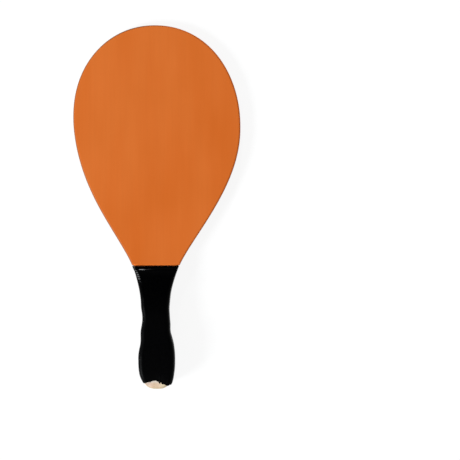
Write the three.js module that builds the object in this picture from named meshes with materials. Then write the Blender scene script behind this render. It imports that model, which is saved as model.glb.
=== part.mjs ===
// Frescobol racket: a five-ply wooden blade with a full-length tang, two glued handle cheeks and a shrunk
// grip sleeve. Millimetres. The blade lies flat: +Y towards the head, +Z out of the front face.
// Everything is drawn with the handle's tip at y = 0 and moved to the middle of its box at the end.
import * as THREE from 'three';

// Overall sizes of the racket
const racketLength = 420;
const bladeWidth = 193;
const crownHeight = 111.5;        // from the widest place to the top of the head
const neckWidth = 54.9;           // where the shoulders run into the grip
const edgeRound = 2;              // round-over along the blade's edge
const tipRound = 1;               // round-over along the bare end of the tang

// Plies of the blade, from the middle out
const corePly = 2.2;
const crossPly = 2.2;
const facePly = 1.2;

// Grip, measured over its sleeve, with heights from the handle's tip
const gripLength = 142.2;
const waistWidth = 31.3;
const waistHeight = 86;
const swellWidth = 41.75;
const swellHeight = 35.5;

// Wood of the handle: thickness over both cheeks, and where the cheeks begin and end
const waistThickness = 24;
const swellThickness = 27.6;
const cheekStep = 1.2;            // blunt upper end of a cheek
const cheekRamp = 34;             // length in which a cheek rises to its full height
const sleeveLap = 5.4;            // how far the sleeve reaches over the bare blade
const cheekSetback = 1.6;         // how far the tang's tip stands out past the cheeks
const cornerRound = 4.8;          // round-over along the handle's four edges, where the cheeks are high

// Sleeve
const sleeveWall = 1;
const hemWall = 0.5;
const sleeveClearance = 0.3;
const seatDrop = 0.6;             // the sleeve's upper edge lies this far inside the blade's outline
const seatRun = 0.3;              // length of the small step that the sleeve's edge meets
const hemTaper = 10;              // length in which the wall thins towards the ragged end

// Curve characters
const crownPower = 2.092;
const buttPower = 2.8;
const domePower = 2.4;
const flarePower = 2;
const swellEase = 1.17;
const rampPower = 2.2;
const shoulderStartShare = 0.446; // length of the shoulder curve's two handles, of its height
const shoulderEndShare = 0.23;
const neckSlopeShare = 0.455;     // run across for each step along, where the shoulder ends
const cornerPower = 3;            // how soon the round-over gives way where the cheeks are low
const cornerShare = 0.92;         // part of a low cheek's height that its round-over takes
const tipRoundShare = 0.33;       // part of the swell's height in which the tip's round-over fades out

// The racket was sawn and rasped by hand: sideways lean in half widths, against height in lengths
const leanShares = [
  [0, 0.006], [0.05, 0.0017], [0.085, 0.0008], [0.12, 0.003], [0.138, -0.001], [0.158, -0.0105],
  [0.186, -0.0055], [0.205, -0.008], [0.226, -0.0142], [0.28, -0.013], [0.36, -0.0085],
  [0.465, 0.001], [0.61, 0.013], [0.68, 0.0108], [0.73, 0.003], [0.86, -0.015], [1, -0.0205],
];

// Lumps where the sleeve shrank unevenly: height in grip lengths, place round the grip in turns,
// rise in walls, spread along the grip in grip lengths
const lumpShares = [
  [0.67, 0.5, 0.2, 0.04],
  [0.49, 0.5, 0.2, 0.04],
  [0.3, 0.25, 0.3, 0.06],
  [0.52, 0.75, 0.3, 0.05],
  [0.75, 0.3, 0.25, 0.05],
  [0.7, 0, 0.35, 0.06],
  [0.52, 0, 0.3, 0.03],
  [0.37, 0.5, -0.45, 0.04],
  [0.035, 0, 2.2, 0.05],
  [0.985, 0.5, 0.7, 0.02],
];

// Ragged lower end of the sleeve: height in swell heights, round the grip in turns from the right side
const hemShares = [
  [0, 0.14], [0.09, 0.11], [0.17, 0.19], [0.215, 0.25], [0.235, 0.225], [0.26, 0.285], [0.31, 0.25],
  [0.39, 0.2], [0.5, 0.19], [0.6, 0.15], [0.69, 0.24], [0.76, 0.21], [0.84, 0.26], [0.92, 0.18], [1, 0.14],
];

// Fineness
const crownSteps = 22;
const shoulderSteps = 24;
const gripSteps = 24;
const buttSteps = 9;
const cornerSteps = 5;
const hemRows = 9;
const roundLevelShares = [0.55, 0.85];  // extra levels in the face ply's round-over, of its thickness

const paint = new THREE.MeshStandardMaterial({ color: '#d66e2d', roughness: 0.5, metalness: 0 });
const paintedEdge = new THREE.MeshStandardMaterial({ color: '#c5622a', roughness: 0.6, metalness: 0 });
const bareWood = new THREE.MeshStandardMaterial({ color: '#e2c8ac', roughness: 0.7, metalness: 0 });
const blackSleeve = new THREE.MeshStandardMaterial({ color: '#0b0b0d', roughness: 0.3, metalness: 0 });

// Sizes that follow from the ones above
const plyHalf = corePly / 2 + crossPly + facePly;
const widestHeight = racketLength - crownHeight;
const sleeveStack = sleeveClearance + sleeveWall;
const cheekTop = gripLength - sleeveLap;
const seatTop = gripLength + sleeveClearance + seatRun;
const waistRise = waistThickness / 2 - plyHalf;
const swellRise = swellThickness / 2 - plyHalf;
const woodSwellHalf = swellWidth / 2 - sleeveStack;

const lerp = THREE.MathUtils.lerp;
const clamp = THREE.MathUtils.clamp;
const smooth = THREE.MathUtils.smoothstep;

// Height of a superellipse quarter at a fraction of its length
function quarter(fraction, power) {
  return (1 - clamp(fraction, 0, 1) ** power) ** (1 / power);
}

// Smooth function through a short list of [place, value] pairs
function curveThrough(points) {
  const last = points.length - 1;
  const slopes = points.map((point, i) => {
    const before = points[Math.max(i - 1, 0)];
    const after = points[Math.min(i + 1, last)];
    return (after[1] - before[1]) / (after[0] - before[0]);
  });
  return (place) => {
    let i = 0;
    while (i < last - 1 && place > points[i + 1][0]) {
      i += 1;
    }
    const span = points[i + 1][0] - points[i][0];
    const t = clamp((place - points[i][0]) / span, 0, 1);
    const rise = points[i + 1][1] - points[i][1];
    const bend = t * (1 - t) * ((slopes[i] * span - rise) * (1 - t) - (slopes[i + 1] * span - rise) * t);
    return points[i][1] + rise * t + bend;
  };
}

const leanCurve = curveThrough(leanShares);
const hemCurve = curveThrough(hemShares);

function lean(y) {
  return leanCurve(y / racketLength) * bladeWidth / 2;
}

// Half width of the wood inside the sleeve
function woodHalf(y) {
  if (y < swellHeight) {
    return woodSwellHalf * quarter((swellHeight - y) / swellHeight, buttPower);
  }
  const waistHalf = waistWidth / 2 - sleeveStack;
  if (y < waistHeight) {
    const fall = ((waistHeight - y) / (waistHeight - swellHeight)) ** swellEase;
    return lerp(waistHalf, woodSwellHalf, smooth(fall, 0, 1));
  }
  const neckHalf = neckWidth / 2 - seatDrop - sleeveStack;
  return lerp(waistHalf, neckHalf, ((y - waistHeight) / (gripLength - waistHeight)) ** flarePower);
}

// Half width of a cheek: a little shorter than the tang at the tip
function cheekHalf(y) {
  if (y >= swellHeight) {
    return woodHalf(y);
  }
  return woodSwellHalf * quarter((swellHeight - y) / (swellHeight - cheekSetback), buttPower);
}

// Height of a cheek above the blade's face
function cheekRise(y) {
  if (y < swellHeight) {
    return swellRise * quarter((swellHeight - y) / (swellHeight - cheekSetback), domePower);
  }
  const body = lerp(swellRise, waistRise, smooth(y, swellHeight, waistHeight));
  const ramp = 1 - (1 - clamp((cheekTop - y) / cheekRamp, 0, 1)) ** rampPower;
  return lerp(cheekStep, body, ramp);
}

// Round-over of a cheek's edges: nearly its own height where it is low, then no more than cornerRound
function cornerRadius(rise) {
  const both = (rise ** cornerPower + cornerRound ** cornerPower) ** (1 / cornerPower);
  return cornerShare * rise * cornerRound / both;
}

// Round-over of the tang's and the blade's edge: none where the cheeks are flush with it
function edgeRadius(y) {
  const blade = edgeRound * smooth(y, cheekTop, gripLength);
  const tip = tipRound * (1 - smooth(y, 0, tipRoundShare * swellHeight));
  return blade + tip;
}

function edgeInset(y, z) {
  const radius = edgeRadius(y);
  const into = Math.abs(z) - (plyHalf - radius);
  return into > 0 ? radius - Math.sqrt(Math.max(radius ** 2 - into ** 2, 0)) : 0;
}

// Stations along the wood's outline: height, half width and outward direction
function outlineStations() {
  const stations = [];
  for (let i = 0; i <= buttSteps; i += 1) {
    const angle = (1 - i / buttSteps) * Math.PI / 2;
    const y = swellHeight * (1 - Math.sin(angle) ** (2 / buttPower));
    stations.push({ y, half: woodHalf(y) });
  }
  for (let i = 1; i <= gripSteps; i += 1) {
    const y = lerp(swellHeight, cheekTop, i / gripSteps);
    stations.push({ y, half: woodHalf(y) });
  }
  const seat = gripLength + sleeveClearance;
  stations.push({ y: seat, half: woodHalf(seat) });
  const neckHalf = neckWidth / 2;
  const shoulderHeight = widestHeight - seatTop;
  const endReach = shoulderEndShare * shoulderHeight;
  const shoulder = new THREE.CubicBezierCurve(
    new THREE.Vector2(neckHalf, seatTop),
    new THREE.Vector2(neckHalf + neckSlopeShare * endReach, seatTop + endReach),
    new THREE.Vector2(bladeWidth / 2, widestHeight - shoulderStartShare * shoulderHeight),
    new THREE.Vector2(bladeWidth / 2, widestHeight),
  );
  for (let i = 0; i < shoulderSteps; i += 1) {
    const point = shoulder.getPoint(i / shoulderSteps);
    stations.push({ y: point.y, half: point.x });
  }
  for (let i = 0; i <= crownSteps; i += 1) {
    const angle = i / crownSteps * Math.PI / 2;
    const y = widestHeight + crownHeight * Math.sin(angle) ** (2 / crownPower);
    const half = i < crownSteps ? bladeWidth / 2 * quarter((y - widestHeight) / crownHeight, crownPower) : 0;
    stations.push({ y, half });
  }
  return withDirections(stations);
}

// Adds the outward direction at each station, taken across its two neighbours
function withDirections(stations) {
  const last = stations.length - 1;
  return stations.map((station, i) => {
    if (i === 0 || i === last) {
      return { ...station, out: new THREE.Vector2(0, i === 0 ? -1 : 1) };
    }
    const before = stations[i - 1];
    const after = stations[i + 1];
    const out = new THREE.Vector2(after.y - before.y, before.half - after.half).normalize();
    return { ...station, out };
  });
}

// Closes a flat ring across, from its one side to the other. The sides start next to the seam, which is
// either a single point that the ring begins with or the edge from its last point to its first.
function acrossRing(start, count, pointFirst) {
  const faces = [];
  let low = 0;
  let high = count - 1;
  if (pointFirst) {
    faces.push([start, start + 1, start + high]);
    low = 1;
  }
  while (high - low > 1) {
    faces.push([start + low, start + low + 1, start + high]);
    if (high - low > 2) {
      faces.push([start + low + 1, start + high - 1, start + high]);
    }
    low += 1;
    high -= 1;
  }
  return faces;
}

// Builds a closed body from rings that all have the same number of points: a tube that closes on itself,
// or a stack whose first and last ring are closed across
function meshFromRings(rings, { ends, pointFirst } = {}) {
  const count = rings[0].length;
  const positions = rings.flat().flatMap((point) => [point.x, point.y, point.z]);
  const faces = [];
  const bands = ends ? rings.length - 1 : rings.length;
  for (let i = 0; i < bands; i += 1) {
    const here = i * count;
    const next = (i + 1) % rings.length * count;
    for (let j = 0; j < count; j += 1) {
      const k = (j + 1) % count;
      faces.push([here + j, here + k, next + k], [here + j, next + k, next + j]);
    }
  }
  if (ends) {
    acrossRing(0, count, pointFirst).forEach((face) => faces.push(face.reverse()));
    faces.push(...acrossRing((rings.length - 1) * count, count, pointFirst));
  }
  const geometry = new THREE.BufferGeometry();
  geometry.setAttribute('position', new THREE.Float32BufferAttribute(positions, 3));
  geometry.setIndex(faces.flat());
  geometry.computeVertexNormals();
  return geometry;
}

// The outline at one level, from the tip up the right side, over the crown and down the left side
function outlineRing(stations, z) {
  const side = (station, sign) => {
    const inset = edgeInset(station.y, z);
    const x = Math.max(station.half - inset * station.out.x, 0);
    return new THREE.Vector3(lean(station.y) + sign * x, station.y - inset * station.out.y, z);
  };
  const right = stations.map((station) => side(station, 1));
  const left = stations.slice(1, -1).map((station) => side(station, -1));
  return [...right, ...left.reverse()];
}

function ply(stations, levels) {
  return meshFromRings(levels.map((z) => outlineRing(stations, z)), { ends: true, pointFirst: true });
}

// Point on a round corner of a cross-section, grown outwards. The angle runs from 0 at the side to a
// quarter turn at the face.
function cornerPoint({ half, high, radius }, angle, grow) {
  return new THREE.Vector2(
    half - radius + (radius + grow) * Math.cos(angle),
    high - radius + (radius + grow) * Math.sin(angle),
  );
}

// Rows of a cheek, from its blunt upper end to its rounded lower end
function cheekHeights() {
  const heights = [];
  for (let i = 0; i < gripSteps; i += 1) {
    heights.push(lerp(cheekTop, swellHeight, i / gripSteps));
  }
  for (let i = 0; i < buttSteps; i += 1) {
    const angle = i / buttSteps * Math.PI / 2;
    heights.push(swellHeight - (swellHeight - cheekSetback) * Math.sin(angle) ** (2 / buttPower));
  }
  return heights;
}

function cheek(face) {
  const rings = cheekHeights().map((y) => {
    const half = cheekHalf(y);
    const rise = cheekRise(y);
    const section = { half, high: rise, radius: cornerRadius(rise) };
    const rightSide = [new THREE.Vector2(half, 0)];
    for (let i = 0; i <= cornerSteps; i += 1) {
      rightSide.push(cornerPoint(section, i / cornerSteps * Math.PI / 2, 0));
    }
    const leftSide = rightSide.map((point) => new THREE.Vector2(-point.x, point.y)).reverse();
    return [...rightSide, ...leftSide].map((point) => (
      new THREE.Vector3(lean(y) + face * point.x, y, face * (plyHalf + point.y))
    ));
  });
  return meshFromRings(rings, { ends: true });
}

// Section round which the sleeve lies at one height: over the cheeks, and down a short slope at their top
function sleeveSection(y) {
  const half = woodHalf(y);
  const slope = 1 - smooth(y, cheekTop + sleeveClearance, gripLength);
  const rise = y < cheekTop ? cheekRise(y) : cheekStep * slope;
  return { half, high: plyHalf + rise, radius: edgeRadius(y) + cornerRadius(rise) };
}

// Points round the grip, by quarters, each with its place in turns from the right side
function sleeveColumns() {
  const columns = [];
  for (let side = 0; side < 4; side += 1) {
    const falling = side % 2 === 1;
    columns.push({ turn: side / 4, middle: side });
    for (let i = 0; i <= cornerSteps; i += 1) {
      const angle = (falling ? cornerSteps - i : i) / cornerSteps * Math.PI / 2;
      columns.push({ turn: (side + (i + 1) / (cornerSteps + 2)) / 4, side, angle });
    }
  }
  return columns;
}

function lump(y, turn) {
  return lumpShares.reduce((sum, [heightShare, placeShare, riseShare, spreadShare]) => {
    const along = (y / gripLength - heightShare) / spreadShare;
    const round = Math.max(Math.cos((turn - placeShare) * 2 * Math.PI), 0);
    return sum + riseShare * sleeveWall * Math.exp(-(along ** 2)) * round;
  }, 0);
}

function sleevePoint(y, column, grow) {
  const section = sleeveSection(y);
  const across = [
    new THREE.Vector2(section.half + grow, 0),
    new THREE.Vector2(0, section.high + grow),
    new THREE.Vector2(-section.half - grow, 0),
    new THREE.Vector2(0, -section.high - grow),
  ];
  if (column.middle !== undefined) {
    const point = across[column.middle];
    return new THREE.Vector3(lean(y) + point.x, y, point.y);
  }
  const corner = cornerPoint(section, column.angle, grow);
  const signX = column.side === 1 || column.side === 2 ? -1 : 1;
  const signZ = column.side > 1 ? -1 : 1;
  return new THREE.Vector3(lean(y) + signX * corner.x, y, signZ * corner.y);
}

// The sleeve's rows as shares from its straight upper edge down to its ragged lower end
function sleeveHeights(column) {
  const lapRows = [gripLength, (gripLength + cheekTop) / 2, cheekTop + sleeveClearance];
  const gripRows = cheekHeights().slice(1, gripSteps);
  const hem = hemCurve(column.turn) * swellHeight;
  const hemSteps = Array.from({ length: hemRows + 1 }, (_, i) => lerp(swellHeight, hem, i / hemRows));
  return [...lapRows, ...gripRows, ...hemSteps];
}

function gripSleeve() {
  const columns = sleeveColumns();
  const heights = columns.map(sleeveHeights);
  const rows = heights[0].map((_, row) => row);
  const ring = (row, outer) => columns.map((column, j) => {
    const y = heights[j][row];
    const hem = heights[j][heights[j].length - 1];
    const wall = lerp(hemWall, sleeveWall, smooth(y, hem, hem + hemTaper));
    const grow = sleeveClearance + (outer ? wall + lump(y, column.turn) : 0);
    return sleevePoint(y, column, grow);
  });
  const outerRings = rows.map((row) => ring(row, true));
  const innerRings = rows.map((row) => ring(row, false)).reverse();
  return meshFromRings([...outerRings, ...innerRings]);
}

function named(name, geometry, material) {
  const mesh = new THREE.Mesh(geometry, material);
  mesh.name = name;
  return mesh;
}

const stations = outlineStations();
const coreTop = corePly / 2;
const crossTop = coreTop + crossPly;
const crossLevels = [coreTop, Math.max(plyHalf - edgeRound, (coreTop + crossTop) / 2), crossTop];
const faceLevels = [crossTop, ...roundLevelShares.map((share) => crossTop + share * facePly), plyHalf];
const mirrored = (levels) => levels.map((z) => -z).reverse();

const racket = new THREE.Group();
racket.add(
  named('core_ply', ply(stations, [-coreTop, coreTop]), paintedEdge),
  named('front_crossband', ply(stations, crossLevels), paintedEdge),
  named('back_crossband', ply(stations, mirrored(crossLevels)), paintedEdge),
  named('front_face_veneer', ply(stations, faceLevels), paint),
  named('back_face_veneer', ply(stations, mirrored(faceLevels)), paint),
  named('front_cheek', cheek(1), bareWood),
  named('back_cheek', cheek(-1), bareWood),
  named('grip_sleeve', gripSleeve(), blackSleeve),
);

// The origin is the middle of the racket's box
const rights = stations.map((station) => lean(station.y) + station.half);
const lefts = stations.map((station) => lean(station.y) - station.half);
racket.position.set(-(Math.max(...rights) + Math.min(...lefts)) / 2, -racketLength / 2, 0);

export default racket;
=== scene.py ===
# Frescobol racket lying face up on a pale floor, seen from straight above.
# Lengths are millimetres in the shape functions and metres in Blender. The shape functions draw the racket
# with the handle's tip at y = 0, as the CAD solids are drawn, and to_frame() puts them in the CAD frame.
# Places round the handle are in turns from its right side, by way of the front.
import math

import bmesh
import bpy
import numpy as np
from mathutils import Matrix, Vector, noise


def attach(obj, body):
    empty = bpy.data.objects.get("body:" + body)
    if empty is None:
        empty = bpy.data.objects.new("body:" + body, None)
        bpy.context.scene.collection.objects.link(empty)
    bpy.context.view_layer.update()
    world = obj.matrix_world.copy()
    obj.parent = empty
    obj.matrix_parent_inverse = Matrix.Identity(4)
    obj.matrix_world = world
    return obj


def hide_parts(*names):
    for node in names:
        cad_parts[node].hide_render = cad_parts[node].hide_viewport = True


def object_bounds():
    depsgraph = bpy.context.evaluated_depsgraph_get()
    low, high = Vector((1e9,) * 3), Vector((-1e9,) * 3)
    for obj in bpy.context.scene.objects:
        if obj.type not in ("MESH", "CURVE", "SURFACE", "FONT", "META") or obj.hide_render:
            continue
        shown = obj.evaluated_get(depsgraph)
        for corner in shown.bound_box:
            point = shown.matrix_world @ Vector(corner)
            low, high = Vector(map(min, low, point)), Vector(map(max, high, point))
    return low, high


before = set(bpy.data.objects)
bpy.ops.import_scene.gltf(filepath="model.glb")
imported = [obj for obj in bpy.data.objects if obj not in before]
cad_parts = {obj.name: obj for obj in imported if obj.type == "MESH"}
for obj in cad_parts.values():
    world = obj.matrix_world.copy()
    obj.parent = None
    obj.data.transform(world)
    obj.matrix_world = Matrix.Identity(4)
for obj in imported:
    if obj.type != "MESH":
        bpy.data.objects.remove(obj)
cad_low, cad_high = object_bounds()

MM = 0.001

# Overall sizes of the racket. From here to the lean, the values are the CAD model's own.
RACKET_LENGTH = 420.0
BLADE_WIDTH = 193.0
CROWN_HEIGHT = 111.5    # from the widest place to the top of the head
NECK_WIDTH = 54.9       # where the shoulders run into the grip
EDGE_ROUND = 2.0        # round-over along the blade's edge
TIP_ROUND = 1.0         # round-over along the bare end of the tang

# Plies of the blade, from the middle out
CORE_PLY = 2.2
CROSS_PLY = 2.2
FACE_PLY = 1.2

# Grip, measured over its sleeve, with heights from the handle's tip
GRIP_LENGTH = 142.2
WAIST_WIDTH = 31.3
WAIST_HEIGHT = 86.0
SWELL_WIDTH = 41.75
SWELL_HEIGHT = 35.5

# Wood of the handle, its thickness measured over both cheeks
WAIST_THICKNESS = 24.0
SWELL_THICKNESS = 27.6
CHEEK_STEP = 1.2        # blunt upper end of a cheek
CHEEK_RAMP = 34.0       # length in which a cheek rises to its full height
CHEEK_SETBACK = 1.6     # how far the tang's tip stands out past the cheeks
CORNER_ROUND = 4.8      # round-over along the handle's four edges, where the cheeks are high

# Sleeve
SLEEVE_LAP = 5.4        # how far it reaches over the bare blade
SLEEVE_WALL = 1.0
SLEEVE_CLEARANCE = 0.3
HEM_WALL = 0.5
HEM_TAPER = 10.0        # length in which the wall thins towards the ragged end
SEAT_DROP = 0.6         # the sleeve's upper edge lies this far inside the blade's outline
SEAT_RUN = 0.3          # length of the small step that the sleeve's edge meets

# Curve characters
CROWN_POWER = 2.092
BUTT_POWER = 2.8
DOME_POWER = 2.4
FLARE_POWER = 2.0
SWELL_EASE = 1.17
RAMP_POWER = 2.2
SHOULDER_START_SHARE = 0.446    # length of the shoulder curve's two handles, of its height
SHOULDER_END_SHARE = 0.23
NECK_SLOPE_SHARE = 0.455        # run across for each step along, where the shoulder ends
CORNER_POWER = 3.0              # how soon the round-over gives way where the cheeks are low
CORNER_SHARE = 0.92             # part of a low cheek's height that its round-over takes
TIP_ROUND_SHARE = 0.33          # part of the swell's height in which the tip's round-over fades out

# The racket was sawn and rasped by hand: sideways lean in half widths, against height in lengths
LEAN_SHARES = [
    (0, 0.006), (0.05, 0.0017), (0.085, 0.0008), (0.12, 0.003), (0.138, -0.001), (0.158, -0.0105),
    (0.186, -0.0055), (0.205, -0.008), (0.226, -0.0142), (0.28, -0.013), (0.36, -0.0085),
    (0.465, 0.001), (0.61, 0.013), (0.68, 0.0108), (0.73, 0.003), (0.86, -0.015), (1, -0.0205),
]

# Lumps where the sleeve shrank unevenly, in more detail than on the solids: height in grip lengths,
# place in turns, rise in walls, spread along the grip in grip lengths
LUMP_SHARES = [
    (0.88, 0.5, 0.35, 0.085),
    (0.66, 0.5, 0.42, 0.06),
    (0.5, 0.5, 0.18, 0.1),
    (0.2, 0.5, 0.22, 0.2),
    (0.93, 0.0, 0.3, 0.13),
    (0.43, 0.0, -0.15, 0.04),
    (0.19, 0.0, 0.26, 0.1),
    (0.67, 0.5, 0.2, 0.04),
    (0.49, 0.5, 0.2, 0.04),
    (0.3, 0.25, 0.3, 0.06),
    (0.52, 0.75, 0.3, 0.05),
    (0.75, 0.3, 0.25, 0.05),
    (0.7, 0.0, 0.35, 0.06),
    (0.52, 0.0, 0.3, 0.03),
    (0.37, 0.5, -0.45, 0.04),
    (0.022, 0.0, 2.6, 0.055),
    (0.985, 0.5, 0.7, 0.02),
]

# Ragged lower end of the sleeve: distance from the handle's middle, height from the handle's tip
HEM_FRONT = [
    (-15.1, 6.9), (-12.9, 7.2), (-10.6, 8.0), (-8.3, 8.3), (-7.1, 8.4), (-6.0, 9.1), (-4.8, 9.6),
    (-2.5, 10.0), (-1.4, 10.2), (-0.2, 9.7), (1.0, 8.9), (2.1, 8.6), (2.9, 6.7), (3.6, 6.9), (4.3, 8.7),
    (5.4, 7.1), (6.6, 5.8), (8.9, 5.55), (10.1, 4.8), (12.2, 4.0), (13.4, 3.9), (14.5, 4.3), (15.5, 5.1),
]
HEM_BACK = [
    (-15.1, 6.85), (-12.5, 8.2), (-10.0, 9.2), (-7.5, 7.4), (-4.5, 8.4), (-2.5, 9.9), (-1.0, 9.0),
    (1.0, 7.4), (3.0, 7.8), (5.5, 9.6), (8.0, 7.6), (10.5, 5.6), (13.0, 4.2), (15.5, 5.1),
]

SEAT_ROUND_REACH = 2.6  # the round-over turns the corner at the sleeve's seat in this length
SAME_HEIGHT = 0.01      # a point this near to the seat's height is at the seat
SKIN_MARGIN = 0.06      # keeps the finer skin inside the box of the CAD model

# Steps along the wood's outline, from the tip to the top of the head
BUTT_STEPS = 40
GRIP_STEPS = 110
SHOULDER_STEPS = 110
CROWN_STEPS = 110

# Sizes that follow from the ones above
PLY_HALF = CORE_PLY / 2 + CROSS_PLY + FACE_PLY
WIDEST_HEIGHT = RACKET_LENGTH - CROWN_HEIGHT
SLEEVE_STACK = SLEEVE_CLEARANCE + SLEEVE_WALL
CHEEK_TOP = GRIP_LENGTH - SLEEVE_LAP
SEAT_TOP = GRIP_LENGTH + SLEEVE_CLEARANCE + SEAT_RUN
WAIST_RISE = WAIST_THICKNESS / 2 - PLY_HALF
SWELL_RISE = SWELL_THICKNESS / 2 - PLY_HALF
WOOD_SWELL_HALF = SWELL_WIDTH / 2 - SLEEVE_STACK


# Shape functions

def lerp(start, end, share):
    return start + (end - start) * share


def smooth(value, start, end):
    share = np.clip((value - start) / (end - start), 0, 1)
    return share * share * (3 - 2 * share)


def steady(value, start, end, ease):
    """From 0 to 1 in an even slope, eased over a share of the way at each end."""
    place = np.clip((value - start) / (end - start), 0, 1)
    rising = np.minimum(place, ease) ** 2 / (2 * ease)
    ending = np.maximum(place - 1 + ease, 0) ** 2 / (2 * ease)
    return (rising + np.maximum(place - ease, 0) - ending) / (1 - ease)


def near(value, centre, spread):
    """1 at the centre, fading to both sides in about the spread."""
    return np.exp(-((value - centre) / spread) ** 2)


def steps_between(start, end, count):
    """Even steps from the start up to the end, without the end itself."""
    return np.linspace(start, end, count + 1)[:-1]


def quarter(fraction, power):
    """Height of a superellipse quarter at a fraction of its length."""
    return (1 - np.clip(fraction, 0, 1) ** power) ** (1 / power)


def curve_through(points):
    """Smooth function through a short list of (place, value) pairs."""
    places = np.array([point[0] for point in points], float)
    values = np.array([point[1] for point in points], float)
    before = np.maximum(np.arange(len(points)) - 1, 0)
    after = np.minimum(np.arange(len(points)) + 1, len(points) - 1)
    slopes = (values[after] - values[before]) / (places[after] - places[before])

    def value_at(place):
        i = np.clip(np.searchsorted(places, place, side="left") - 1, 0, len(points) - 2)
        span = places[i + 1] - places[i]
        share = np.clip((place - places[i]) / span, 0, 1)
        rise = values[i + 1] - values[i]
        start_bend = (slopes[i] * span - rise) * (1 - share)
        end_bend = (slopes[i + 1] * span - rise) * share
        return values[i] + rise * share + share * (1 - share) * (start_bend - end_bend)

    return value_at


lean_curve = curve_through(LEAN_SHARES)
hem_front = curve_through(HEM_FRONT)
hem_back = curve_through(HEM_BACK)


def lean(y):
    return lean_curve(y / RACKET_LENGTH) * BLADE_WIDTH / 2


def wood_half(y):
    """Half width of the wood inside the sleeve."""
    waist_half = WAIST_WIDTH / 2 - SLEEVE_STACK
    neck_half = NECK_WIDTH / 2 - SEAT_DROP - SLEEVE_STACK
    butt = WOOD_SWELL_HALF * quarter((SWELL_HEIGHT - y) / SWELL_HEIGHT, BUTT_POWER)
    fall = np.clip((WAIST_HEIGHT - y) / (WAIST_HEIGHT - SWELL_HEIGHT), 0, 1) ** SWELL_EASE
    swell = lerp(waist_half, WOOD_SWELL_HALF, smooth(fall, 0, 1))
    flare_share = np.maximum((y - WAIST_HEIGHT) / (GRIP_LENGTH - WAIST_HEIGHT), 0) ** FLARE_POWER
    flare = lerp(waist_half, neck_half, flare_share)
    return np.where(y < SWELL_HEIGHT, butt, np.where(y < WAIST_HEIGHT, swell, flare))


def cheek_half(y):
    dome = WOOD_SWELL_HALF * quarter((SWELL_HEIGHT - y) / (SWELL_HEIGHT - CHEEK_SETBACK), BUTT_POWER)
    return np.where(y < SWELL_HEIGHT, dome, wood_half(y))


def cheek_rise(y):
    """Height of a cheek above the blade's face."""
    dome = SWELL_RISE * quarter((SWELL_HEIGHT - y) / (SWELL_HEIGHT - CHEEK_SETBACK), DOME_POWER)
    body = lerp(SWELL_RISE, WAIST_RISE, smooth(y, SWELL_HEIGHT, WAIST_HEIGHT))
    ramp = 1 - (1 - np.clip((CHEEK_TOP - y) / CHEEK_RAMP, 0, 1)) ** RAMP_POWER
    return np.where(y < SWELL_HEIGHT, dome, lerp(CHEEK_STEP, body, ramp))


def corner_radius(rise):
    """Round-over of a cheek's edges, and of the sleeve over it."""
    both = (rise ** CORNER_POWER + CORNER_ROUND ** CORNER_POWER) ** (1 / CORNER_POWER)
    return CORNER_SHARE * rise * CORNER_ROUND / both


def edge_radius(y):
    """Round-over of the plies' outline."""
    blade = EDGE_ROUND * smooth(y, CHEEK_TOP, GRIP_LENGTH)
    tip = TIP_ROUND * (1 - smooth(y, 0, TIP_ROUND_SHARE * SWELL_HEIGHT))
    return blade + tip


def edge_inset(y, z):
    radius = edge_radius(y)
    into = np.maximum(abs(z) - (PLY_HALF - radius), 0)
    return radius - np.sqrt(np.maximum(radius ** 2 - into ** 2, 0))


def shoulder_points():
    """Half widths and heights along a shoulder, a curve with two handles, up to below the widest place."""
    span = WIDEST_HEIGHT - SEAT_TOP
    reach = SHOULDER_END_SHARE * span
    handles = np.array([
        (NECK_WIDTH / 2, SEAT_TOP),
        (NECK_WIDTH / 2 + NECK_SLOPE_SHARE * reach, SEAT_TOP + reach),
        (BLADE_WIDTH / 2, WIDEST_HEIGHT - SHOULDER_START_SHARE * span),
        (BLADE_WIDTH / 2, WIDEST_HEIGHT),
    ])
    t = steps_between(0, 1, SHOULDER_STEPS)[:, None]
    weights = np.hstack([(1 - t) ** 3, 3 * t * (1 - t) ** 2, 3 * t ** 2 * (1 - t), t ** 3])
    points = weights @ handles
    height = points[:, 1]
    clear_of_seat = (height < SEAT_TOP + SAME_HEIGHT) | (height > SEAT_TOP + SEAT_ROUND_REACH)
    return points[clear_of_seat]


def outline_stations():
    """Heights, half widths and outward directions along the wood's outline, from the tip to the top."""
    angle = np.linspace(math.pi / 2, 0, BUTT_STEPS + 1)
    butt_y = SWELL_HEIGHT * (1 - np.sin(angle) ** (2 / BUTT_POWER))
    grip_y = np.linspace(SWELL_HEIGHT, CHEEK_TOP, GRIP_STEPS + 1)[1:]
    low_y = np.concatenate([butt_y, grip_y, [GRIP_LENGTH + SLEEVE_CLEARANCE]])
    low_half = wood_half(low_y)
    low_half[0] = 0.0
    shoulder = shoulder_points()
    angle = np.linspace(0, math.pi / 2, CROWN_STEPS + 1)
    crown_y = WIDEST_HEIGHT + CROWN_HEIGHT * np.sin(angle) ** (2 / CROWN_POWER)
    crown_half = BLADE_WIDTH / 2 * quarter((crown_y - WIDEST_HEIGHT) / CROWN_HEIGHT, CROWN_POWER)
    crown_half[-1] = 0.0
    y = np.concatenate([low_y, shoulder[:, 1], crown_y])
    half = np.concatenate([low_half, shoulder[:, 0], crown_half])
    out = np.zeros((len(y), 2))
    out[1:-1, 0] = y[2:] - y[:-2]
    out[1:-1, 1] = half[:-2] - half[2:]
    out[0] = (0, -1)
    out[-1] = (0, 1)
    out /= np.linalg.norm(out, axis=1, keepdims=True)
    return y, half, out


STATIONS = outline_stations()
RIGHT_X = np.max(lean(STATIONS[0]) + STATIONS[1])
LEFT_X = np.min(lean(STATIONS[0]) - STATIONS[1])
CENTRE_X = (RIGHT_X + LEFT_X) / 2
FIT_X = (cad_high.x - cad_low.x) / (RIGHT_X - LEFT_X) / MM


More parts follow.
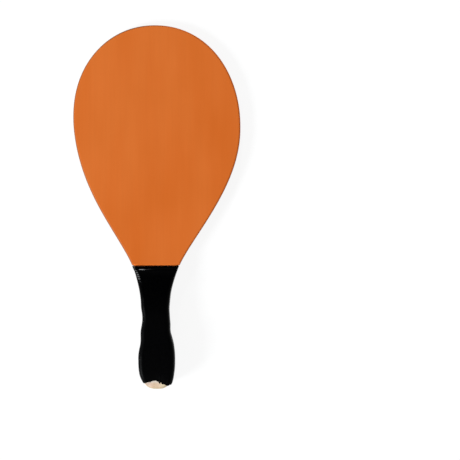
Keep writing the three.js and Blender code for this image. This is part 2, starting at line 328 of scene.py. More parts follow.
def to_frame(points):
    """From the shape functions' millimetres to the CAD frame's metres."""
    return (np.asarray(points, float) - (CENTRE_X, RACKET_LENGTH / 2, 0)) * (FIT_X * MM, MM, MM)


# Mesh helpers

def piece_from(node, points, faces, materials):
    """Makes a smooth-shaded piece that stands for a CAD node and rides with it."""
    mesh = bpy.data.meshes.new(node + "_detail")
    mesh.from_pydata(to_frame(points).tolist(), [], faces)
    mesh.validate()
    for material in materials:
        mesh.materials.append(material)
    mesh.polygons.foreach_set("use_smooth", [True] * len(mesh.polygons))
    piece = bpy.data.objects.new(node + "_detail", mesh)
    bpy.context.scene.collection.objects.link(piece)
    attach(piece, "root")
    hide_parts(node)
    return piece


def band_faces(rings, count, wraps):
    """Faces between rings of count points. A band that wraps joins its last ring to its first."""
    faces = []
    for i in range(rings if wraps else rings - 1):
        here = i * count
        after = (i + 1) % rings * count
        for j in range(count):
            k = (j + 1) % count
            faces.append((here + j, here + k, after + k, after + j))
    return faces


def across_faces(start, count, point_first, flip):
    """Closes a ring across, from side to side. With point_first, its first point lies between the sides."""
    faces = []
    low, high = 0, count - 1
    if point_first:
        faces.append((start, start + 1, start + high))
        low = 1
    while high - low > 1:
        if high - low > 2:
            faces.append((start + low, start + low + 1, start + high - 1, start + high))
        else:
            faces.append((start + low, start + low + 1, start + high))
        low += 1
        high -= 1
    return [face[::-1] for face in faces] if flip else faces


# Blade

PLY_BEVEL = 0.09        # tiny chamfer at each glue line, seen as a hairline under the paint
FLAT_MARGIN = 0.6       # a ring just inside the round-over keeps the face flat
PAINT_END = 120.0       # paint stops here, under the sleeve
FACE_ROUND_STEPS = 9    # levels of the round-over on a face veneer, and on the crossband under it
CROSS_ROUND_STEPS = 5


def outline_ring(z, extra_inset):
    y, half, out = STATIONS
    inset = edge_inset(y, z) + extra_inset
    across = np.maximum(half - inset * out[:, 0], 0)
    height = y - inset * out[:, 1]
    right = np.stack([lean(y) + across, height, np.full_like(y, z)], axis=1)
    left = np.stack([lean(y) - across, height, np.full_like(y, z)], axis=1)
    return np.concatenate([right, left[1:-1][::-1]])


def ply_rings(low, high, outer):
    """Rings of one ply from its lower to its upper face. An outer ply ends in the blade's flat face."""
    levels = [(low, PLY_BEVEL), (low + PLY_BEVEL, 0)]
    round_start = max(low + PLY_BEVEL, PLY_HALF - EDGE_ROUND)
    if high > round_start + PLY_BEVEL:
        steps = FACE_ROUND_STEPS if outer else CROSS_ROUND_STEPS
        top = high if outer else high - PLY_BEVEL
        share = np.linspace(0, 1, steps + 1)[1:]
        curved = np.sin(share * math.pi / 2) if outer else share
        levels += [(lerp(round_start, top, part), 0) for part in curved]
    else:
        levels.append((high - PLY_BEVEL, 0))
    levels.append((high, FLAT_MARGIN if outer else PLY_BEVEL))
    return levels


def make_ply(node, levels, materials):
    """The ply's first material is its painted one, and the second its bare one under the sleeve."""
    rings = [outline_ring(z, extra) for z, extra in levels]
    count = len(rings[0])
    faces = band_faces(len(rings), count, False)
    faces += across_faces(0, count, True, True)
    faces += across_faces((len(rings) - 1) * count, count, True, False)
    points = np.concatenate(rings)
    piece = piece_from(node, points, faces, materials)
    height = points[:, 1]
    bare = [int(max(height[list(face)]) < PAINT_END) for face in faces]
    piece.data.polygons.foreach_set("material_index", bare)


def make_blade(paint, shaded_edge_paint, bare_face, bare_long, bare_end):
    core_top = CORE_PLY / 2
    cross_top = core_top + CROSS_PLY
    core = [
        (-core_top, PLY_BEVEL),
        (PLY_BEVEL - core_top, 0),
        (core_top - PLY_BEVEL, 0),
        (core_top, PLY_BEVEL),
    ]
    make_ply("core_ply", core, [shaded_edge_paint, bare_long])
    for side, sign in (("front", 1), ("back", -1)):
        for name, low, high, outer, slot_name, materials in (
            ("crossband", core_top, cross_top, False, "painted_edge", [shaded_edge_paint, bare_end]),
            ("face_veneer", cross_top, PLY_HALF, True, "painted_face", [paint, bare_face]),
        ):
            levels = ply_rings(low, high, outer)
            if sign < 0:
                levels = [(-z, extra) for z, extra in reversed(levels)]
            make_ply(f"{side}_{name}", levels, materials)


# Handle

TURN_NUDGE = 1e-9               # counts a place on the border of two quarter turns to the later one
SIDE_SHARE = 1 / 7              # part of each quarter turn on the flat side, and on the flat face
BAND_ANGLE = math.radians(62)   # where the skin is pulled flat across the front left corner
BAND_TILT = math.radians(-4.5)  # change of that angle on the lap
BAND_HALF = math.radians(28)

# Rows and columns of a cheek
CHEEK_ROWS = 89
CHEEK_DOME_ROWS = 60
CHEEK_DOME_END = 0.995          # the dome's last row, in quarter turns
CHEEK_CORNER_COLUMNS = 15
CHEEK_FACE_COLUMNS = 27


def section_point(half, high, radius, turn, grow, band=0.0, tilt=0.0):
    """Point on a box section with round corners, at a place in turns, grown outwards.

    The front left corner is cut flat across by the share called band."""
    quarters = turn * 4
    whole = np.floor(quarters + TURN_NUDGE)
    side = whole.astype(int) % 4
    local = quarters - whole
    local = np.where(side % 2 == 1, 1 - local, local)
    angle = np.clip((local - SIDE_SHARE) / (1 - 2 * SIDE_SHARE), 0, 1) * math.pi / 2
    up_side = np.clip(local / SIDE_SHARE, 0, 1)
    along_face = np.clip((1 - local) / SIDE_SHARE, 0, 1)
    off_band = np.abs(angle - BAND_ANGLE - BAND_TILT * tilt)
    chord = np.cos(BAND_HALF) / np.cos(np.minimum(off_band, BAND_HALF))
    reach = (radius + grow) * np.where(side == 1, lerp(1, chord, band), 1)
    x = (half - radius) * along_face + reach * np.cos(angle)
    z = (high - radius) * up_side + reach * np.sin(angle)
    sign_x = np.where((side == 1) | (side == 2), -1, 1)
    sign_z = np.where(side > 1, -1, 1)
    return x * sign_x, z * sign_z


def make_cheek(node, face, material):
    """The cheek on the front face, 1, or on the back face, -1."""
    grip_y = steps_between(CHEEK_TOP, SWELL_HEIGHT, CHEEK_ROWS)
    angle = np.linspace(0, CHEEK_DOME_END, CHEEK_DOME_ROWS) * math.pi / 2
    dome_y = SWELL_HEIGHT - (SWELL_HEIGHT - CHEEK_SETBACK) * np.sin(angle) ** (2 / BUTT_POWER)
    y = np.concatenate([grip_y, dome_y])[:, None]
    half, rise = cheek_half(y), cheek_rise(y)
    radius = corner_radius(rise)
    angle = np.linspace(0, math.pi / 2, CHEEK_CORNER_COLUMNS)[None, :]
    corner_x = half - radius + radius * np.cos(angle)
    corner_z = rise - radius + radius * np.sin(angle)
    flat_x = corner_x[:, -1:] * np.linspace(1, -1, CHEEK_FACE_COLUMNS)[None, 1:-1]
    flat_z = np.repeat(rise, flat_x.shape[1], axis=1)
    x = np.hstack([half, corner_x, flat_x, -corner_x[:, ::-1], -half])
    z = np.hstack([0 * rise, corner_z, flat_z, corner_z[:, ::-1], 0 * rise])
    rows, count = x.shape
    points = np.stack([lean(y) + face * x, np.repeat(y, count, axis=1), face * (PLY_HALF + z)], axis=2)
    faces = band_faces(rows, count, False)
    faces += across_faces(0, count, False, True)
    faces += across_faces((rows - 1) * count, count, False, False)
    piece_from(node, points.reshape(-1, 3), faces, [material])


# Sleeve

# The skin's drop off the cheeks' upper ends: its length where the skin is tight, and elsewhere
STEP_RUN_SHARP = 2.58
STEP_RUN_SOFT = 4.3
STEP_EARLY = 0.26               # where the skin is tight, the drop begins this far below the cheek's end
STEP_EASE = 0.35                # part of the drop's length that curves at each end

# The skin is tight on the left part of the faces, at these distances across from the handle's middle.
# From LOOSE_FROM on it loosens by LOOSE_PART, within about LOOSE_REACH.
TIGHT_START = (-22.0, -19.7)
TIGHT_END = (-6.0, 4.0)
LOOSE_FROM = -14.0
LOOSE_REACH = 7.0
LOOSE_PART = 0.33

# The flat band across the front left corner: places in turns, and heights in which it sets in, grows
# rounder and ends at the lap
BAND_QUARTER = (0.25, 0.5)
BAND_START = (119.0, 123.0)
BAND_GROWS = (126.0, 132.0)
LAP_START = (136.5, 139.0)
BAND_EXTRA_LOW = 0.6            # the corner is this much rounder under the band, lower down
BAND_EXTRA_HIGH = 1.2           # and just below the lap

# Folds across the front left corner of the flare, and three faint ones at the swell: height, half the
# length of the gentle lower side, rise, place in turns where the fold ends
PUCKERS = [
    (140.7, 0.8, 0.62, 0.42),
    (139.4, 0.5, 0.52, 0.42),
    (138.1, 0.5, 0.42, 0.42),
    (136.7, 0.5, 0.25, 0.41),
    (134.4, 0.8, 0.42, 0.39),
    (132.1, 0.8, 0.44, 0.39),
    (129.8, 0.8, 0.58, 0.39),
    (127.4, 0.9, 0.56, 0.39),
    (124.1, 0.8, 0.34, 0.39),
    (39.4, 0.8, 0.2, 0.39),
    (37.2, 0.8, 0.2, 0.39),
    (35.0, 0.8, 0.16, 0.39),
]
PUCKER_BACK = 0.45              # length of the steep upper side
PUCKER_START = (0.286, 0.31)    # places in which every fold begins
PUCKER_END_EASE = 0.02

# Wrinkles at the flare's other corners: place in turns, strength, shift along the grip
WRINKLES = [
    (0.12, 0.5, 0.7),
    (0.62, 0.7, 1.3),
    (0.88, 0.8, 0.3),
]
WRINKLE_PITCH = 2.45
WRINKLE_DEPTH = 0.22
WRINKLE_SPREAD = 0.06           # in turns
WRINKLE_SLANT = 10.0            # climb in one turn
WRINKLE_TOP = 135.5
WRINKLE_RUN = 12.5              # length below the top in which they fade out
WRINKLE_ONSET = (-0.12, 0.02)   # shares of that length in which they set in
WRINKLE_FADE_POWER = 0.5

# Slow unevenness of the shrunk skin, with a finer second layer
RIPPLE_DEPTH = 0.08
RIPPLE_SIZE = 9.0
RIPPLE_FINE_SIZE = 3.1
RIPPLE_FINE_SHARE = 0.35
RIPPLE_FINE_SHIFT = Vector((7, 3, 5))
CALM_BELOW_EDGE = (3.0, 9.0)    # distances from the upper edge, and from the hem, in which it sets in
CALM_ABOVE_HEM = (0.0, 2.0)

EDGE_DIP = 0.3                  # the sleeve's upper edge dips this much at the front left corner
DIP_PLACE = 0.36
DIP_SPREAD = 0.09
DIP_MARGIN = 2.0                # rows this near the cheek's end stay level
LOOSE_SHARE = 0.8               # part of the wall that stays between the skin's outer and inner side

# Search for the hem's height in each column: first guess, rounds, share of the way taken in each
HEM_GUESS = 7.0
HEM_ROUNDS = 12
HEM_PULL = 0.6

# Columns of the sleeve in a quarter turn, and its rows from the upper edge to the hem, which are closer
# together above the flare's foot
SIDE_COLUMNS = 4
CORNER_COLUMNS = 18
FACE_COLUMNS = 36
FLARE_FOOT = 118.0
LAP_ROWS = 25
FLARE_ROWS = 139
GRIP_ROWS = 95
SWELL_ROWS = 66
INNER_ROW_STEP = 5              # the inner side has one row for this many outside


def sleeve_lumps(y, turn):
    total = np.zeros_like(y)
    for height, place, rise, spread in LUMP_SHARES:
        round_it = np.maximum(np.cos((turn - place) * 2 * math.pi), 0)
        total += rise * SLEEVE_WALL * near(y / GRIP_LENGTH, height, spread) * round_it
    return total


def sleeve_wrinkles(y, turn):
    """Short waves one below another where the flare's corners turn."""
    along = (WRINKLE_TOP - y) / WRINKLE_RUN
    fade = np.clip(1 - along, 0, 1) ** WRINKLE_FADE_POWER * smooth(along, *WRINKLE_ONSET)
    total = np.zeros_like(y)
    for place, strength, shift in WRINKLES:
        wave = np.sin((y + shift + WRINKLE_SLANT * (turn - place)) / WRINKLE_PITCH * 2 * math.pi)
        total += strength * near(turn, place, WRINKLE_SPREAD) * wave
    return WRINKLE_DEPTH * fade * total


def sleeve_puckers(y, turn):
    """Folds across the front left corner, each with a gentle lower side and a steep upper one."""
    total = np.zeros_like(y)
    for height, half, rise, end in PUCKERS:
        climb = np.clip((y - height + half) / (2 * half), 0, 1)
        fold = climb * (1 - smooth(y, height + half, height + half + PUCKER_BACK))
        total += rise * fold * (1 - smooth(turn, end - PUCKER_END_EASE, end + PUCKER_END_EASE))
    return total * smooth(turn, *PUCKER_START)


def sleeve_ripple(points):
    """Slow noise over the skin, nearly all of it inwards."""
    values = [
        noise.noise(Vector(point) / RIPPLE_SIZE)
        + RIPPLE_FINE_SHARE * noise.noise(Vector(point) / RIPPLE_FINE_SIZE + RIPPLE_FINE_SHIFT)
        for point in points
    ]
    return RIPPLE_DEPTH * (np.array(values) - 1) / 2


def sleeve_grid(y, turn, grow):
    """Points on the sleeve: over the cheeks, and down off their upper end on to the blade."""
    half = wood_half(y)
    radius = edge_radius(y)
    across, _ = section_point(half, PLY_HALF + CHEEK_STEP, radius + CHEEK_STEP, turn, 0)
    loosening = 1 - np.exp(-np.maximum(across - LOOSE_FROM, 0) / LOOSE_REACH)
    tight = smooth(across, *TIGHT_START) * (1 - LOOSE_PART * loosening) * (1 - smooth(across, *TIGHT_END))
    run = lerp(STEP_RUN_SOFT, STEP_RUN_SHARP, tight)
    step_start = CHEEK_TOP - STEP_EARLY * tight
    slope = 1 - steady(y, step_start, step_start + run, STEP_EASE)
    rise = np.where(y < CHEEK_TOP, cheek_rise(y), CHEEK_STEP) * slope
    band = smooth(y, *BAND_START)
    lap = smooth(y, *LAP_START)
    extra = lerp(BAND_EXTRA_LOW, BAND_EXTRA_HIGH, smooth(y, *BAND_GROWS)) * band * (1 - lap)
    in_quarter = (turn > BAND_QUARTER[0]) * (turn < BAND_QUARTER[1])
    radius = radius + corner_radius(rise) + extra * in_quarter
    x, z = section_point(half, PLY_HALF + rise, radius, turn, grow, band, lap)
    return np.stack([lean(y) + x, y, z], axis=-1)


def column_turns():
    """Places round the grip, closer together at the corners."""
    side = steps_between(0, SIDE_SHARE, SIDE_COLUMNS)
    corner = steps_between(SIDE_SHARE, 1 - SIDE_SHARE, CORNER_COLUMNS)
    face = steps_between(1 - SIDE_SHARE, 1, FACE_COLUMNS)
    rising = np.concatenate([side, corner, face])
    falling = 1 - np.concatenate([[1.0], face[::-1], corner[::-1], side[1:][::-1]])
    return np.concatenate([rising, 1 + falling, 2 + rising, 3 + falling]) / 4


def hem_heights(turn):
    """Height of the ragged end in each column, found where the column crosses the hem's line."""
    hem = np.full_like(turn, HEM_GUESS)
    for _ in range(HEM_ROUNDS):
        point = sleeve_grid(hem, turn, SLEEVE_STACK + sleeve_lumps(hem, turn))
        across = point[:, 0] - lean(hem)
        wanted = np.where(turn < 0.5, hem_front(across), hem_back(across))
        hem = lerp(hem, wanted, HEM_PULL)
    return hem


def sleeve_rows(turn, hem):
    """Heights of the sleeve's points, in rows from the upper edge to the hem."""
    lap_y = steps_between(GRIP_LENGTH, CHEEK_TOP, LAP_ROWS)
    flare_y = steps_between(CHEEK_TOP, FLARE_FOOT, FLARE_ROWS)
    grip_y = steps_between(FLARE_FOOT, SWELL_HEIGHT, GRIP_ROWS)
    level = np.concatenate([lap_y, flare_y, grip_y])[:, None]
    share = np.linspace(0, 1, SWELL_ROWS)[:, None]
    rows = np.vstack([np.repeat(level, len(turn), axis=1), lerp(SWELL_HEIGHT, hem[None, :], share)])
    dip = near(turn, DIP_PLACE, DIP_SPREAD) * smooth(rows, CHEEK_TOP + DIP_MARGIN, GRIP_LENGTH)
    return rows - EDGE_DIP * dip


def make_sleeve(material):
    turn = column_turns()
    hem = hem_heights(turn)
    rows = sleeve_rows(turn, hem)
    turns = np.repeat(turn[None, :], rows.shape[0], axis=0)
    wall = lerp(HEM_WALL, SLEEVE_WALL, smooth(rows, hem, hem + HEM_TAPER))
    skin = sleeve_grid(rows, turns, SLEEVE_CLEARANCE + wall)
    ripple = sleeve_ripple(skin.reshape(-1, 3)).reshape(rows.shape)
    calm = smooth(GRIP_LENGTH - rows, *CALM_BELOW_EDGE) * smooth(rows - hem, *CALM_ABOVE_HEM)
    detail = sleeve_lumps(rows, turns) + sleeve_puckers(rows, turns) - SKIN_MARGIN
    detail += (sleeve_wrinkles(rows, turns) + ripple) * calm
    outer = sleeve_grid(rows, turns, SLEEVE_CLEARANCE + wall + detail)
    keep = np.unique(np.append(np.arange(0, len(rows), INNER_ROW_STEP), len(rows) - 1))[::-1]
    under = SLEEVE_CLEARANCE + wall * (1 - LOOSE_SHARE) + detail
    inner = sleeve_grid(rows[keep], turns[keep], under[keep])
    points = np.vstack([outer.reshape(-1, 3), inner.reshape(-1, 3)])
    faces = band_faces(len(rows) + len(keep), len(turn), True)
    piece_from("grip_sleeve", points, faces, [material])


# Materials

WHITE = (1.0, 1.0, 1.0)
RISING = (0.0, 1.0)
FALLING = (1.0, 0.0)

# Sockets of Blender's Mix node that carry colours
MIX_FIRST = 6
MIX_SECOND = 7
MIX_RESULT = 2


def srgb(red, green, blue):
    """A colour given in 8-bit sRGB, as linear parts of one."""
    return tuple(
        (value / 255 / 12.92 if value / 255 <= 0.04045 else ((value / 255 + 0.055) / 1.055) ** 2.4)
        for value in (red, green, blue)
    )


def opaque(colour):
    """Gives a plain colour its fourth part. A socket stays as it is."""
    return (*colour, 1.0) if isinstance(colour, tuple) else colour


class Nodes:
    """Short calls for building one material's node tree."""

    def __init__(self, name):
        self.material = bpy.data.materials.new(name)
        self.material.use_nodes = True
        self.tree = self.material.node_tree
        self.tree.nodes.clear()
        self.output = self.tree.nodes.new("ShaderNodeOutputMaterial")
        self.where = self.tree.nodes.new("ShaderNodeTexCoord").outputs["Object"]

    def link(self, source, socket):
        """Links a socket to a source that is a socket too, and otherwise sets its value."""
        if hasattr(source, "is_linked"):
            self.tree.links.new(source, socket)
        else:
            socket.default_value = source

    def node(self, kind, settings=None, **inputs):
        """Adds a node. An input goes by its name, with _ for each space, or by its number after a _."""
        made = self.tree.nodes.new(kind)
        for key, value in (settings or {}).items():
            setattr(made, key, value)
        for key, value in inputs.items():
            self.link(value, made.inputs[int(key[1:]) if key[0] == "_" else key.replace("_", " ")])
        return made

    def axes(self):
        """The object's own x, y and z, in metres."""
        place = self.node("ShaderNodeSeparateXYZ", Vector=self.where)
        return [place.outputs[axis] for axis in "XYZ"]

    def math(self, operation, first, second=0.0):
        return self.node("ShaderNodeMath", {"operation": operation}, _0=first, _1=second).outputs[0]

    def weighted(self, first, first_weight, second, second_weight):
        """Sum of two values, each times its weight."""
        first_part = self.math("MULTIPLY", first, first_weight)
        return self.math("ADD", first_part, self.math("MULTIPLY", second, second_weight))

    def pattern(self, stretch, scale, layers, rough):
        """Noise over the object, stretched along x, y and z where a stretch is given."""
        where = self.where
        if stretch:
            where = self.node("ShaderNodeMapping", Vector=where, Scale=stretch).outputs[0]
        made = self.node("ShaderNodeTexNoise", Vector=where, Scale=scale, Detail=layers, Roughness=rough)
        return made.outputs["Fac"]

    def ramp(self, factor, *stops):
        made = self.node("ShaderNodeValToRGB", Fac=factor)
        elements = made.color_ramp.elements
        while len(elements) < len(stops):
            elements.new(1.0)
        for element, (place, colour) in zip(elements, stops):
            element.position = place
            element.color = opaque(colour)
        return made.outputs["Color"]

    def grey(self, factor, ends, span=(0.0, 1.0)):
        """Goes from the first to the second of two ends while the factor crosses the span."""
        made = self.node("ShaderNodeMapRange", {"clamp": True}, Value=factor)
        made.inputs["From Min"].default_value, made.inputs["From Max"].default_value = span
        made.inputs["To Min"].default_value, made.inputs["To Max"].default_value = ends
        return made.outputs["Result"]

    def mix(self, factor, first, second, blend="MIX"):
        made = self.tree.nodes.new("ShaderNodeMix")
        made.data_type = "RGBA"
        made.blend_type = blend
        self.link(factor, made.inputs["Factor"])
        self.link(opaque(first), made.inputs[MIX_FIRST])
        self.link(opaque(second), made.inputs[MIX_SECOND])
        return made.outputs[MIX_RESULT]

    def tinted(self, colour, tint):
        return self.mix(1.0, colour, tint, "MULTIPLY")

    def bump(self, height, strength, distance):
        made = self.node("ShaderNodeBump", Height=height, Strength=strength, Distance=distance)
        return made.outputs["Normal"]

    def finish(self, colour, roughness, normal, specular):
        shader = self.node(
            "ShaderNodeBsdfPrincipled",
            Base_Color=colour,
            Roughness=roughness,
            Normal=normal,
            Specular_IOR_Level=specular,
        )
        self.tree.links.new(shader.outputs["BSDF"], self.output.inputs["Surface"])
        return self.material


# Paint, with its two tones in 8-bit sRGB and tints that multiply them. In all materials, a pattern is a
# stretch along x, y and z or None, a scale, layers and their roughness, and places are in metres.
PAINT_WARM = (213.5, 110.5, 43.5)
PAINT_COOL = (209, 103, 34.5)
# The sides of the blade take a darker copy of the same paint: painted shade.
EDGE_PAINT_SHADE_LEVEL = 0.94
PAINT_GRAIN = ((330.0, 9.0, 330.0), 1.0, 4.0, 0.6)
PAINT_BANDS = ((30.0, 7.0, 30.0), 1.0, 2.0, 0.5)
PAINT_CLOUDS = (None, 17.0, 2.0, 0.5)
PAINT_PEEL = (None, 900.0, 2.0, 0.5)
PAINT_DRIFT = (-2.4, 2.2, 0.0)      # the colour grows a little warmer and brighter towards the upper left of the head
BAND_WEIGHT = 2.3                   # of the lengthwise bands, against that drift
HUE_SPAN = (0.75, 1.75)
COAT_TINTS = ((0.34, (0.975, 0.975, 0.98)), (0.66, WHITE))
GRAIN_TINTS = ((0.32, (0.978, 0.974, 0.967)), (0.6, WHITE))
RIM_SHADE_AND_LIGHT = ((0.0, (0.38, 0.5, 0.75)), (1.0, (1.4, 1.3, 1.0)))  # painted shade on the left round-over and painted light on the right one
RIM_TURN = (-0.024, 0.024)          # where the one tint passes into the other, across the head
RIM_UPPER = (0.0041, 0.00449)       # levels between which the tint fades, towards the flat face
RIM_LOWER = (0.0024, 0.0034)        # and towards the blade's side
LIP_LIGHT_LINE = (-0.0668, -0.0655)    # painted light: a paler line along the sleeve's edge, against the shadow of its lip
LIP_LIGHT_TINT = (1.5, 1.5, 1.5)
PAINT_RELIEF = (0.8, 0.3)           # weights of grain and peel
PAINT_BUMP = (0.25, 0.00004)
PAINT_ROUGHNESS = (0.46, 0.58)
CLOUD_SPAN = (0.3, 0.7)
PAINT_SPECULAR = 0.12


def paint_material(name, level):
    """Satin paint over wood: faint lengthwise grain under it and a slightly uneven coat, with painted shade
    and light on the round-overs and a painted light line along the sleeve's edge.
    """
    n = Nodes(name)
    grain = n.pattern(*PAINT_GRAIN)
    bands = n.pattern(*PAINT_BANDS)
    clouds = n.pattern(*PAINT_CLOUDS)
    peel = n.pattern(*PAINT_PEEL)
    across, along, deep = n.axes()
    drift = n.node("ShaderNodeVectorMath", {"operation": "DOT_PRODUCT"}, _0=n.where, _1=PAINT_DRIFT)
    hue = n.weighted(bands, BAND_WEIGHT, drift.outputs["Value"], 1.0)
    cool, warm = (tuple(part * level for part in srgb(*tone)) for tone in (PAINT_COOL, PAINT_WARM))
    colour = n.ramp(n.grey(hue, RISING, HUE_SPAN), (0.0, cool), (1.0, warm))
    colour = n.tinted(n.tinted(colour, n.ramp(clouds, *COAT_TINTS)), n.ramp(grain, *GRAIN_TINTS))
    # Painted shade on the left round-over and painted light on the right one.
    side = n.ramp(n.grey(across, RISING, RIM_TURN), *RIM_SHADE_AND_LIGHT)
    above_middle = n.math("ABSOLUTE", deep)
    under_face = n.grey(above_middle, FALLING, RIM_UPPER)
    on_rim = n.math("MULTIPLY", under_face, n.grey(above_middle, RISING, RIM_LOWER))
    colour = n.tinted(colour, n.mix(on_rim, WHITE, side))
    # Painted light in a line along the sleeve's edge, against the shadow of its lip.
    lip_light = n.grey(along, FALLING, LIP_LIGHT_LINE)
    colour = n.tinted(colour, n.mix(lip_light, WHITE, LIP_LIGHT_TINT))
    grain_relief, peel_relief = PAINT_RELIEF
    normal = n.bump(n.weighted(grain, grain_relief, peel, peel_relief), *PAINT_BUMP)
    return n.finish(colour, n.grey(clouds, PAINT_ROUGHNESS, CLOUD_SPAN), normal, PAINT_SPECULAR)


# Bare woods: light and dark tone in 8-bit sRGB, stretch of the grain along x, y and z
BARE_VENEER = ((212, 194, 164), (196, 174, 140), (700.0, 40.0, 700.0))
BARE_CORE = ((226, 204, 160), (205, 178, 132), (700.0, 700.0, 700.0))
BARE_CROSSBAND = ((206, 178, 134), (176, 146, 102), (900.0, 900.0, 900.0))
BARE_CHEEK = ((232, 206, 186), (218, 190, 168), (520.0, 30.0, 520.0))
WOOD_BANDS = (1.0, 5.0, 0.62)
WOOD_FINE = (4.0, 3.0, 0.7)
WOOD_WEIGHTS = (0.7, 0.3)           # of the bands and of the fine grain
WOOD_SPAN = (0.34, 0.62)            # values at which the dark tone ends and the light one begins
WOOD_BUMP = (0.5, 0.00012)
WOOD_ROUGHNESS = (0.55, 0.75)
WOOD_SPECULAR = 0.15

# Painted shade and light across the cheek's bare end, from its left to its right side
CHEEK_SHADE_TINTS = (
    (0.0, (0.5, 0.5, 0.52)),
    (0.08, (0.65, 0.655, 0.68)),
    (0.175, (0.88, 0.86, 0.84)),
    (0.27, (0.86, 0.82, 0.77)),
    (0.4, (0.79, 0.76, 0.65)),
    (0.6, (0.86, 0.845, 0.77)),
    (0.75, (0.83, 0.9, 0.78)),
    (0.92, (1.0, 1.1, 0.95)),
)
TINT_SPAN = (-0.012, 0.012)
PALE_BAND_TONE = (217, 212, 203)        # a paler tone mixed into the wood in a band next to the hem
PALE_BAND_SHARE = 0.7
PALE_BAND_SPAN = (-0.2035, -0.2008)


def wood_material(name, light, dark, stretch, tints=()):
    """Bare sanded wood with lengthwise grain, or end grain where the stretch is even. Tints, where given,
    paint shade and light across it, and a paler band is mixed in next to the hem.
    """
    n = Nodes(name)
    bands = n.pattern(stretch, *WOOD_BANDS)
    fine = n.pattern(stretch, *WOOD_FINE)
    band_weight, fine_weight = WOOD_WEIGHTS
    tone = n.weighted(bands, band_weight, fine, fine_weight)
    dark_end, light_start = WOOD_SPAN
    colour = n.ramp(tone, (dark_end, srgb(*dark)), (light_start, srgb(*light)))
    if tints:
        across, along, _ = n.axes()
        # Painted shade and light across the cheek's end, darker to the left and lighter to the right.
        colour = n.tinted(colour, n.ramp(n.grey(across, RISING, TINT_SPAN), *tints))
        # A paler tone is mixed in, in a band next to the hem.
        pale_band = n.grey(along, (0.0, PALE_BAND_SHARE), PALE_BAND_SPAN)
        colour = n.mix(pale_band, colour, srgb(*PALE_BAND_TONE))
    return n.finish(colour, n.grey(fine, WOOD_ROUGHNESS), n.bump(tone, *WOOD_BUMP), WOOD_SPECULAR)


# Black skin of the sleeve
SKIN_PATTERN = (None, 420.0, 3.0, 0.55)
SKIN_PORES = (None, 1900.0, 2.0, 0.5)
SKIN_SCUFFS = ((160.0, 900.0, 160.0), 1.0, 3.0, 0.5)
SKIN_TONES = ((0.3, (0.0002, 0.0002, 0.0003)), (0.7, (0.0008, 0.0008, 0.0010)))
WORN_SPAN = (-0.130, -0.095)        # the hand wears the skin below this stretch of the grip
WORN_ROUGHNESS = (0.12, 0.44)       # of the fresh and of the worn skin
SCUFF_ROUGHNESS = (-0.02, 0.04)     # what the scuffs add
SCUFF_SPAN = (0.3, 0.7)
PORE_RELIEF = 0.4
SKIN_BUMP = (0.15, 0.00005)
SKIN_SPECULAR = 0.032


def sleeve_material():
    """Glossy black shrunk vinyl, dulled where the hand holds it, with fine scuffs."""
    n = Nodes("shrunk_vinyl")
    skin = n.pattern(*SKIN_PATTERN)
    pores = n.pattern(*SKIN_PORES)
    scuffs = n.pattern(*SKIN_SCUFFS)
    _, along, _ = n.axes()
    worn = n.grey(along, FALLING, WORN_SPAN)
    scuffed = n.grey(scuffs, SCUFF_ROUGHNESS, SCUFF_SPAN)
    roughness = n.math("ADD", n.grey(worn, WORN_ROUGHNESS), scuffed)
    normal = n.bump(n.weighted(skin, 1.0, pores, PORE_RELIEF), *SKIN_BUMP)
    return n.finish(n.ramp(skin, *SKIN_TONES), roughness, normal, SKIN_SPECULAR)


# Stage

FLOOR_SIZE = 8.0
FLOOR_CELLS = 8
FLOOR_GAP = 0.1         # keeps the floor just clear of the racket
FLOOR_PATTERN = (None, 60.0, 2.0, 0.5)
FLOOR_TONES = ((0.3, (0.115, 0.115, 0.115)), (0.7, (0.125, 0.125, 0.125)))
FLOOR_GLOW = 0.9

# Name, azimuth and elevation in degrees, width and height in metres, power in watts
LAMPS = (
    ("key", 208.0, 28.0, 1.84, 1.68, 536.0),
    ("kicker", 93.2, 23.3, 0.5, 0.4, 96.0),
)
LAMP_DISTANCE = 6.0
LAMP_COLOUR = (0.94, 0.97, 1.0)
LAMP_AIM = Vector((0, -0.1, 0))

# The pale wall ends and the dark ceiling begins at these sines of the elevation
WALL_TOP = 0.72
CEILING_START = 0.84
WALL_LEVEL = 0.5
CEILING_LEVEL = 0.02


def seen_background(tree):
    """One where the background is seen directly, in a reflection or through glass."""
    path = tree.nodes.new("ShaderNodeLightPath")
    seen = path.outputs["Is Camera Ray"]
    for ray in ("Is Glossy Ray", "Is Transmission Ray"):
        either = tree.nodes.new("ShaderNodeMath")
        either.operation = "MAXIMUM"
        tree.links.new(seen, either.inputs[0])
        tree.links.new(path.outputs[ray], either.inputs[1])
        seen = either.outputs[0]
    return seen


def floor_material():
    """Pale floor that reads white to the camera and keeps a soft shadow."""
    n = Nodes("pale_floor")
    tone = n.ramp(n.pattern(*FLOOR_PATTERN), *FLOOR_TONES)
    diffuse = n.node("ShaderNodeBsdfDiffuse", Color=tone)
    strength = n.math("MULTIPLY", seen_background(n.tree), FLOOR_GLOW)
    glow = n.node("ShaderNodeEmission", Color=opaque(WHITE), Strength=strength)
    both = n.node("ShaderNodeAddShader", _0=diffuse.outputs[0], _1=glow.outputs[0])
    n.tree.links.new(both.outputs[0], n.output.inputs["Surface"])
    return n.material


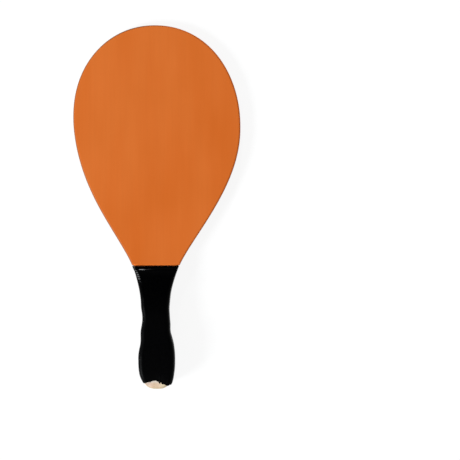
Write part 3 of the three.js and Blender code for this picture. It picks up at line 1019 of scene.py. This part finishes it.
def make_floor():
    """The racket rests on the swell of its handle and the far edge of its head."""
    heel = Vector((0, SWELL_HEIGHT - RACKET_LENGTH / 2, 0)) * MM
    heel.z = cad_low.z
    toe = Vector((0, RACKET_LENGTH / 2 * MM - EDGE_ROUND * MM, -PLY_HALF * MM))
    slope = math.atan2(toe.z - heel.z, toe.y - heel.y)
    bm = bmesh.new()
    bmesh.ops.create_grid(bm, x_segments=FLOOR_CELLS, y_segments=FLOOR_CELLS, size=FLOOR_SIZE / 2)
    mesh = bpy.data.meshes.new("floor")
    bm.to_mesh(mesh)
    bm.free()
    mesh.materials.append(floor_material())
    floor = bpy.data.objects.new("floor", mesh)
    floor.location = heel - Vector((0, 0, FLOOR_GAP * MM))
    floor.rotation_euler = (slope, 0, 0)
    bpy.context.scene.collection.objects.link(floor)


def make_lamps():
    for name, azimuth, elevation, width, height, power in LAMPS:
        lamp = bpy.data.lights.new(name, "AREA")
        lamp.shape = "RECTANGLE"
        lamp.size = width
        lamp.size_y = height
        lamp.energy = power
        lamp.color = LAMP_COLOUR
        turned = math.radians(azimuth)
        raised = math.radians(elevation)
        level = math.cos(raised)
        toward = Vector((level * math.cos(turned), level * math.sin(turned), math.sin(raised)))
        holder = bpy.data.objects.new(name, lamp)
        holder.location = LAMP_AIM + toward * LAMP_DISTANCE
        holder.rotation_euler = toward.to_track_quat("Z", "Y").to_euler()
        bpy.context.scene.collection.objects.link(holder)


def make_world():
    """A pale studio whose ceiling is dark: nothing bright stands over the black sleeve."""
    world = bpy.data.worlds.new("studio")
    bpy.context.scene.world = world
    world.use_nodes = True
    tree = world.node_tree
    tree.nodes.clear()
    where = tree.nodes.new("ShaderNodeTexCoord")
    parts = tree.nodes.new("ShaderNodeSeparateXYZ")
    ramp = tree.nodes.new("ShaderNodeMapRange")
    ramp.interpolation_type = "SMOOTHSTEP"
    ramp.inputs["From Min"].default_value = WALL_TOP
    ramp.inputs["From Max"].default_value = CEILING_START
    ramp.inputs["To Min"].default_value = WALL_LEVEL
    ramp.inputs["To Max"].default_value = CEILING_LEVEL
    sky = tree.nodes.new("ShaderNodeBackground")
    sky.inputs["Color"].default_value = opaque(WHITE)
    output = tree.nodes.new("ShaderNodeOutputWorld")
    tree.links.new(where.outputs["Generated"], parts.inputs[0])
    tree.links.new(parts.outputs["Z"], ramp.inputs["Value"])
    tree.links.new(ramp.outputs[0], sky.inputs["Strength"])
    tree.links.new(sky.outputs[0], output.inputs["Surface"])


# Camera: the photograph shows the blade square on, left of and above the middle of the picture

PHOTO_WIDTH_PX = 460.0
RACKET_TOP_PX = 25.1
RACKET_BOTTOM_PX = 388.9
RACKET_MIDDLE_PX = 156.78
LENS_MM = 135.0
SENSOR_MM = 36.0
FARTHEST_SEEN = 50.0


def make_camera():
    scale = RACKET_LENGTH / (RACKET_BOTTOM_PX - RACKET_TOP_PX)
    view_width = PHOTO_WIDTH_PX * scale
    away = view_width * LENS_MM / SENSOR_MM
    across = (PHOTO_WIDTH_PX / 2 - RACKET_MIDDLE_PX) * scale
    along = ((RACKET_TOP_PX + RACKET_BOTTOM_PX) / 2 - PHOTO_WIDTH_PX / 2) * scale
    data = bpy.data.cameras.new("camera")
    data.lens = LENS_MM
    data.sensor_width = SENSOR_MM
    data.clip_end = FARTHEST_SEEN
    camera = bpy.data.objects.new("camera", data)
    camera.location = Vector((across, along, PLY_HALF + away)) * MM
    bpy.context.scene.collection.objects.link(camera)
    bpy.context.scene.camera = camera


make_camera()
make_floor()
make_world()
make_lamps()

paint = paint_material("orange_paint", 1.0)
# The darker copy of the paint is painted shade on the blade's sides.
shaded_edge_paint = paint_material("orange_edge_paint", EDGE_PAINT_SHADE_LEVEL)
bare_face = wood_material("bare_veneer", *BARE_VENEER)
bare_long = wood_material("bare_core", *BARE_CORE)
bare_end = wood_material("bare_crossband", *BARE_CROSSBAND)
cheek_wood = wood_material("bare_cheek", *BARE_CHEEK, CHEEK_SHADE_TINTS)
make_blade(paint, shaded_edge_paint, bare_face, bare_long, bare_end)
make_cheek("front_cheek", 1, cheek_wood)
make_cheek("back_cheek", -1, cheek_wood)
make_sleeve(sleeve_material())

bpy.context.scene.view_settings.view_transform = "Standard"
